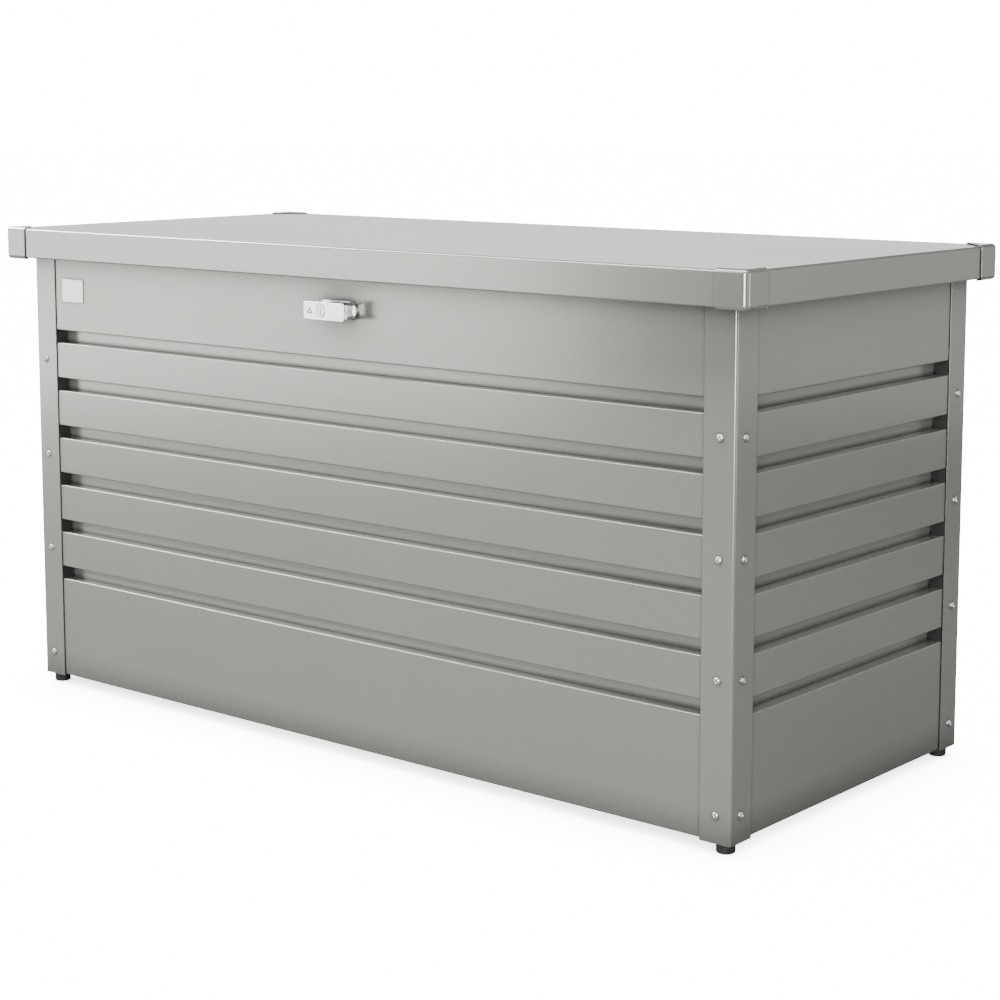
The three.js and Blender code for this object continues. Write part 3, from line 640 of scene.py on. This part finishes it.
plank_middles = [top - (GROOVE_PITCH + GROOVE_HEIGHT) / 2 for top in groove_tops]
screw_heights = [plank_middles[0], plank_middles[2], plank_middles[4], SCREW_HEIGHT]
for where, (sign_x, sign_y) in CORNERS.items():
    corner_post(where, (sign_x, sign_y))
    x = sign_x * body_half_x
    y = body_centre_y + sign_y * body_half_y
    for number, height in enumerate(screw_heights, 1):
        across = (x - sign_x * SCREW_OFFSET, y, height)
        along = (x, y - sign_y * SCREW_OFFSET, height)
        screw(f"screw_{where}_face_{number}", across, (0, sign_y, 0))
        screw(f"screw_{where}_end_{number}", along, (sign_x, 0, 0))


# ---- feet ----


def foot(where):
    """A ribbed foot pad and its threaded stud."""
    low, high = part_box(f"foot_pad_{where}")
    centre = Vector(((low.x + high.x) / 2, (low.y + high.y) / 2, 0))
    radius, height = (high.x - low.x) / 2, high.z
    lower_edge = arc(radius - PAD_EDGE, PAD_EDGE, PAD_EDGE, -90, 0)
    upper_edge = arc(radius - PAD_TOP_EDGE, height - PAD_TOP_EDGE, PAD_TOP_EDGE, 0, 90, 4)
    profile = [(0, 0), *[(p.x, p.y) for p in lower_edge]]
    for z in PAD_GROOVE_HEIGHTS:
        profile += [(radius, z), (radius - PAD_GROOVE, z + PAD_GROOVE), (radius, z + 2 * PAD_GROOVE)]
    profile += [(p.x, p.y) for p in upper_edge]
    profile += [(0, height)]
    pad = place(lathe(f"foot_{where}_pad", profile, 48), Matrix.Translation(centre))
    even_shading(pad)
    finish_piece(pad, black_rubber, "black_plastic", f"foot_{where}", f"foot_pad_{where}")

    low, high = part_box(f"foot_stud_{where}")
    crest = (high.x - low.x) / 2
    root = crest - THREAD_DEPTH
    turns = int((high.z - height) / THREAD_PITCH)
    thread = []
    for i in range(turns):
        z = height + i * THREAD_PITCH
        flanks = ((root, 0), (crest, 0.45), (crest, 0.6), (root, 1))
        thread += [(r, z + THREAD_PITCH * part) for r, part in flanks]
    profile = [(0, low.z), (root, low.z), *thread, (root - THREAD_CHAMFER, high.z), (0, high.z)]
    stud = place(lathe(f"foot_{where}_thread", profile, 32), Matrix.Translation(centre))
    finish_piece(stud, zinc, "zinc_steel", f"foot_{where}", f"foot_stud_{where}")


for where in CORNERS:
    foot(where)


# ---- lid ----

lid_low, lid_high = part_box("lid_shell")


def lid_ring(inset, height):
    """The lid's outline at a height, drawn in by the inset."""
    left, right = lid_low.x + inset, lid_high.x - inset
    front, rear = lid_low.y + inset, lid_high.y - inset
    points = rounded_rectangle(left, right, front, rear, LID_CORNER - inset)
    return [Vector((p.x, p.y, height)) for p in points]


def lid_sheet():
    """Top and rim in one folded sheet, its rim rolled in along the bottom."""
    top, bottom = lid_high.z, lid_low.z
    section = [
        Vector((LID_FLAT_INSET, top)),
        Vector((LID_FOLD + 1 * MM, top)),
        *arc(LID_FOLD, top - LID_FOLD, LID_FOLD, 90, 180, 8),
        *arc(LID_ROLL, bottom + LID_ROLL, LID_ROLL, 180, 270, 5),
        Vector((LID_RETURN, bottom)),
        Vector((LID_RETURN, bottom + LID_SHEET)),
        *arc(LID_ROLL, bottom + LID_ROLL, LID_ROLL - LID_SHEET, 270, 180, 3),
        *arc(LID_FOLD, top - LID_FOLD, LID_FOLD - LID_SHEET, 180, 90, 4),
        Vector((LID_FLAT_INSET, top - LID_SHEET)),
    ]
    piece = ring_solid("lid_sheet", [lid_ring(p.x, p.y) for p in section], 50)
    even_shading(piece)
    finish_piece(piece, paint, "painted_steel", "lid", "lid_shell")


def lid_cap(row, side):
    """A corner cap: lip, legs and the triangle on top, from ring paths round the corner."""
    node = f"lid_cap_{row}_{side}"
    low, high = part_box(node)
    sign_x = 1 if side == "right" else -1
    sign_y = 1 if row == "rear" else -1
    leg = high.x - low.x
    outer_x = high.x if sign_x > 0 else -low.x
    outer_y = high.y if sign_y > 0 else -low.y
    top, bottom = high.z, low.z
    rim = lid_low.z - CAP_GAP

    def path(inset, height):
        radius = max(CAP_CORNER - inset, CAP_LEAST_RADIUS)
        centre = inset + radius
        bend = arc(centre, centre, radius, 270, 180, 8)
        points = [Vector((leg, inset)), *bend, Vector((inset, leg))]
        return [
            Vector((sign_x * (outer_x - p.x), sign_y * (outer_y - p.y), height)) for p in points
        ]

    section = [
        *arc(CAP_EDGE, top - CAP_EDGE, CAP_EDGE, 90, 180, 6),
        *arc(CAP_EDGE, bottom + CAP_EDGE, CAP_EDGE, 180, 270, 6),
        Vector((CAP_LIP, bottom)),
        Vector((CAP_LIP, rim)),
        Vector((CAP_WALL, rim)),
        *reversed(arc(CAP_EDGE, top - CAP_EDGE, CAP_EDGE - CAP_WALL, 90, 180, 6)),
    ]
    bm = bmesh.new()
    rings = [[bm.verts.new(v) for v in path(p.x, p.y)] for p in section]
    for first, second in zip(rings, rings[1:]):
        for i in range(len(first) - 1):
            bm.faces.new((first[i], first[i + 1], second[i + 1], second[i]))
    bm.faces.new(rings[0])
    bm.faces.new(rings[-1])
    bm.faces.new([ring[0] for ring in rings])
    bm.faces.new([ring[-1] for ring in rings])
    bm.faces.new((rings[0][0], rings[0][-1], rings[-1][-1], rings[-1][0]))
    piece = make_object(f"{node}_moulding", bm, 40)
    soften(piece, CAP_SOFT, 3, 45)
    finish_piece(piece, cap_plastic, "grey_cap", "lid", node)


lid_sheet()
for row in ("front", "rear"):
    for side in ("left", "right"):
        lid_cap(row, side)


# ---- carried-over nodes ----

PAIRED = ("hinge_body_leaf", "hinge_lid_leaf", "hinge_pin", "strut_base", "strut_lid_bracket")
CARRIED = {
    paint: ("floor_pan", "lid_stiffener_left", "lid_stiffener_right"),
    zinc: (
        "floor_rail_front", "floor_rail_rear", "top_rail_front", "top_rail_rear", "top_rail_left",
        "top_rail_right", "lock_nut", "lock_cam", "cam_nut", "lock_keeper",
        *[f"foot_plate_{where}" for where in CORNERS],
        *[f"{what}_{side}" for what in PAIRED for side in ("left", "right")],
    ),
    chrome: ("lock_rosette", "lock_housing", "lock_barrel", "lock_plug"),
    black_lacquer: ("strut_cylinder_left", "strut_cylinder_right"),
    rod_chrome: ("strut_rod_left", "strut_rod_right"),
    label_alloy: ("label_plate",),
}
for material, nodes in CARRIED.items():
    for name in nodes:
        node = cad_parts[name]
        node.data.materials.clear()
        node.data.materials.append(material)
        for polygon in node.data.polygons:
            polygon.use_smooth = True
            polygon.material_index = 0
        weld = node.modifiers.new("weld", "WELD")
        weld.merge_threshold = WELD_REACH
        soften(node, EDGES.get(name, EDGE), 3 if name in EDGES else 2, 35)


def closed_rings(name, rings, sharp=35):
    """A closed body with a hole, its last ring joined to its first."""
    bm = bmesh.new()
    made = [[bm.verts.new(p) for p in ring] for ring in rings]
    for first, second in zip(made, made[1:] + made[:1]):
        for i in range(len(first)):
            j = (i + 1) % len(first)
            bm.faces.new((first[i], first[j], second[j], second[i]))
    return make_object(name, bm, sharp)


def knob():
    """The turning bar round its lock barrel, the neck behind it and a small inlaid triangle."""
    low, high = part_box("turn_knob")
    barrel_low, barrel_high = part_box("lock_barrel")
    middle = Vector(((barrel_low.x + barrel_high.x) / 2, 0, (low.z + high.z) / 2))
    face = low.y + KNOB_SINK
    back = low.y + KNOB_BAR_T
    hole = (barrel_high.x - barrel_low.x) / 2 + BARREL_CLEAR

    def outline(inset):
        half = (high.z - low.z) / 2 - inset
        corners = rounded_rectangle(
            low.x - middle.x + inset, high.x - middle.x - inset, -half, half, KNOB_CORNER - inset
        )
        points = []
        for p, q in zip(corners, corners[1:] + corners[:1]):
            points += [p.lerp(q, k / 8) for k in range(8)] if (q - p).length > 5 * MM else [p]
        return points

    def flat(points, y):
        return [Vector((middle.x + p.x, y, middle.z + p.y)) for p in points]

    def round_hole(radius, y):
        return flat([p.normalized() * radius for p in outline(0)], y)

    rounding = arc(0, 0, KNOB_RIM, 0, 90, 5)
    rings = [flat(outline(KNOB_BACK_EDGE), back), flat(outline(0), back - KNOB_BACK_EDGE)]
    rings += [flat(outline(KNOB_RIM - p.x), face + KNOB_RIM - p.y) for p in rounding]
    rings += [round_hole(hole + KNOB_HOLE_EDGE, face), round_hole(hole, face + KNOB_HOLE_EDGE)]
    rings += [round_hole(hole, back)]
    bar = closed_rings("turn_knob_bar", rings, 50)
    even_shading(bar)
    finish_piece(bar, chrome, "satin_chrome", "turn_knob", "turn_knob")

    rosette_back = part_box("lock_rosette")[1].y
    cam_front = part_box("lock_cam")[0].y
    inner = barrel_high.y + GAP
    profile = [
        (0, inner), (hole, inner), (hole, back - 1 * MM), (NECK_R, back - 1 * MM),
        (NECK_R, rosette_back - NECK_CLEAR), (SHAFT_R, rosette_back - NECK_CLEAR),
        (SHAFT_R, cam_front - GAP), (SHAFT_TIP_R, cam_front - GAP),
        (SHAFT_TIP_R, high.y - 0.5 * MM), (SHAFT_TIP_R - 0.5 * MM, high.y), (0, high.y),
    ]
    neck = lathe("turn_knob_shaft", profile, 40)
    place(neck, axis_frame(Vector((middle.x, 0, middle.z)), (0, 1, 0)))
    finish_piece(neck, chrome, "satin_chrome", "turn_knob", "turn_knob")

    spokes = [math.radians(90 + 120 * k) for k in range(3)]
    at = Vector((low.x + TRIANGLE_INSET, face, middle.z - TRIANGLE_DROP))

    def triangle(radius, y):
        return [at + Vector((radius * math.cos(s), y, radius * math.sin(s))) for s in spokes]

    section = (
        (TRIANGLE_OUTER, TRIANGLE_BACK), (TRIANGLE_OUTER, TRIANGLE_FRONT),
        (TRIANGLE_INNER, TRIANGLE_FRONT), (TRIANGLE_INNER, TRIANGLE_BACK),
    )
    pointer = closed_rings("knob_triangle", [triangle(*corner) for corner in section], 30)
    finish_piece(pointer, black_lacquer, "black_plastic", "turn_knob")


knob()


# ---- floor, lights and camera ----


def studio():
    """The floor and the surround.

    Both are white to the camera only. To everything else the floor is dark grey and the
    surround is dim, apart from a brighter band behind the box."""
    bm = bmesh.new()
    size = FLOOR_HALF
    corners = ((-size, -size), (size, -size), (size, size), (-size, size))
    bm.faces.new([bm.verts.new((x, y, 0)) for x, y in corners])
    floor = make_object("studio_floor", bm)
    n = Nodes("floor_paint")
    tone = n.mix(n.ramp(n.noise(1.5, 2), 0.3, 0.7, 0, 1), (0.15, 0.15, 0.15), (0.16, 0.16, 0.16))
    seen = n.add("ShaderNodeLightPath").outputs["Is Camera Ray"]
    contact = n.add("ShaderNodeAmbientOcclusion", samples=8)
    contact.inputs["Distance"].default_value = CONTACT_REACH
    shade = n.ramp(contact.outputs["AO"], 0, 0.9, CONTACT_GLOW, FLOOR_GLOW)
    glow = n.sum(shade, seen, "MULTIPLY")
    floor.data.materials.append(
        n.set(Base_Color=tone, Roughness=0.8, Emission_Color=(1.0, 1.0, 1.0), Emission_Strength=glow)
    )

    world = bpy.data.worlds.new("studio")
    bpy.context.scene.world = world
    world.use_nodes = True
    nodes, links = world.node_tree.nodes, world.node_tree.links
    direction = nodes.new("ShaderNodeTexCoord").outputs["Generated"]

    def facing(azimuth, elevation, near, far):
        """1 within near degrees of a direction, fading to 0 at far."""
        dot = nodes.new("ShaderNodeVectorMath")
        dot.operation = "DOT_PRODUCT"
        dot.inputs[1].default_value = toward(azimuth, elevation)
        links.new(direction, dot.inputs[0])
        fade = nodes.new("ShaderNodeMapRange")
        fade.inputs["From Min"].default_value = math.cos(math.radians(far))
        fade.inputs["From Max"].default_value = math.cos(math.radians(near))
        links.new(dot.outputs["Value"], fade.inputs["Value"])
        return fade.outputs["Result"]

    def multiply(first, second):
        product = nodes.new("ShaderNodeMath")
        product.operation = "MULTIPLY"
        for socket, value in zip(product.inputs, (first, second)):
            if isinstance(value, (int, float)):
                socket.default_value = value
            else:
                links.new(value, socket)
        return product.outputs[0]

    below = nodes.new("ShaderNodeMath")
    below.operation = "SUBTRACT"
    below.inputs[0].default_value = 1
    links.new(facing(0, 90, 76, 82), below.inputs[1])
    band = multiply(multiply(facing(208, 0, 22, 40), below.outputs[0]), HORIZON)
    total = nodes.new("ShaderNodeMath")
    total.inputs[1].default_value = SURROUND
    links.new(band, total.inputs[0])
    path = nodes.new("ShaderNodeLightPath")
    strength = nodes.new("ShaderNodeMix")
    strength.inputs[3].default_value = BACKDROP
    links.new(path.outputs["Is Camera Ray"], strength.inputs["Factor"])
    links.new(total.outputs[0], strength.inputs[2])
    background = nodes["Background"]
    background.inputs["Color"].default_value = (1, 1, 1, 1)
    links.new(strength.outputs[0], background.inputs["Strength"])


def soft_box(name, azimuth, distance, height, size, radiance, tilt=0.0):
    """A soft box that shines on the deck box from an azimuth, tilted down by the tilt."""
    light = bpy.data.lights.new(name, "AREA")
    light.shape = "RECTANGLE"
    light.size, light.size_y = size
    light.energy = radiance * math.pi * size[0] * size[1]
    lamp = bpy.data.objects.new(name, light)
    a = math.radians(azimuth)
    lamp.location = (math.sin(a) * distance, -math.cos(a) * distance, height)
    lamp.rotation_euler = toward(azimuth, tilt).to_track_quat("Z", "Y").to_euler()
    lamp.visible_camera = False
    bpy.context.scene.collection.objects.link(lamp)
    return lamp


def photo_camera():
    """The camera at the photograph's viewing angle."""
    data = bpy.data.cameras.new("camera")
    data.lens = CAMERA_LENS
    data.sensor_width = SENSOR_WIDTH
    data.shift_y = CAMERA_SHIFT_Y
    camera = bpy.data.objects.new("camera", data)
    back = toward(CAMERA_AZIMUTH, CAMERA_ELEVATION)
    camera.location = CAMERA_PLACE
    camera.rotation_euler = back.to_track_quat("Z", "Y").to_euler()
    bpy.context.scene.collection.objects.link(camera)
    bpy.context.scene.camera = camera


studio()
soft_box("left", -52, 3.6, 0.85, (2.8, 1.65), 4.1)
soft_box("left_high", -85, 3.4, 2.9, (2.4, 1.6), 20, 33)
soft_box("front_fill", -22, 2.4, 2.6, (2.2, 1.2), 3.2, 48)
soft_box("front_strip", 32, 3.8, 1.1, (0.95, 2.1), 25)
soft_box("right_strip", 107, 3.0, 1.05, (0.2, 2.0), 16)
soft_box("rear_fill", 140, 3.5, 0.75, (2.6, 1.4), 0.65)
soft_box("rear", 182, 3.4, 0.9, (1.5, 1.4), 7)
soft_box("right_side", 84, 3.4, 0.8, (1.8, 1.4), 0.9)
soft_box("left_side", -96, 3.2, 0.9, (1.2, 1.4), 4)
overhead = soft_box("overhead", 0, 0.8, 2.5, (6.4, 0.3), 30, 90)
overhead.location.x = OVERHEAD_X
photo_camera()
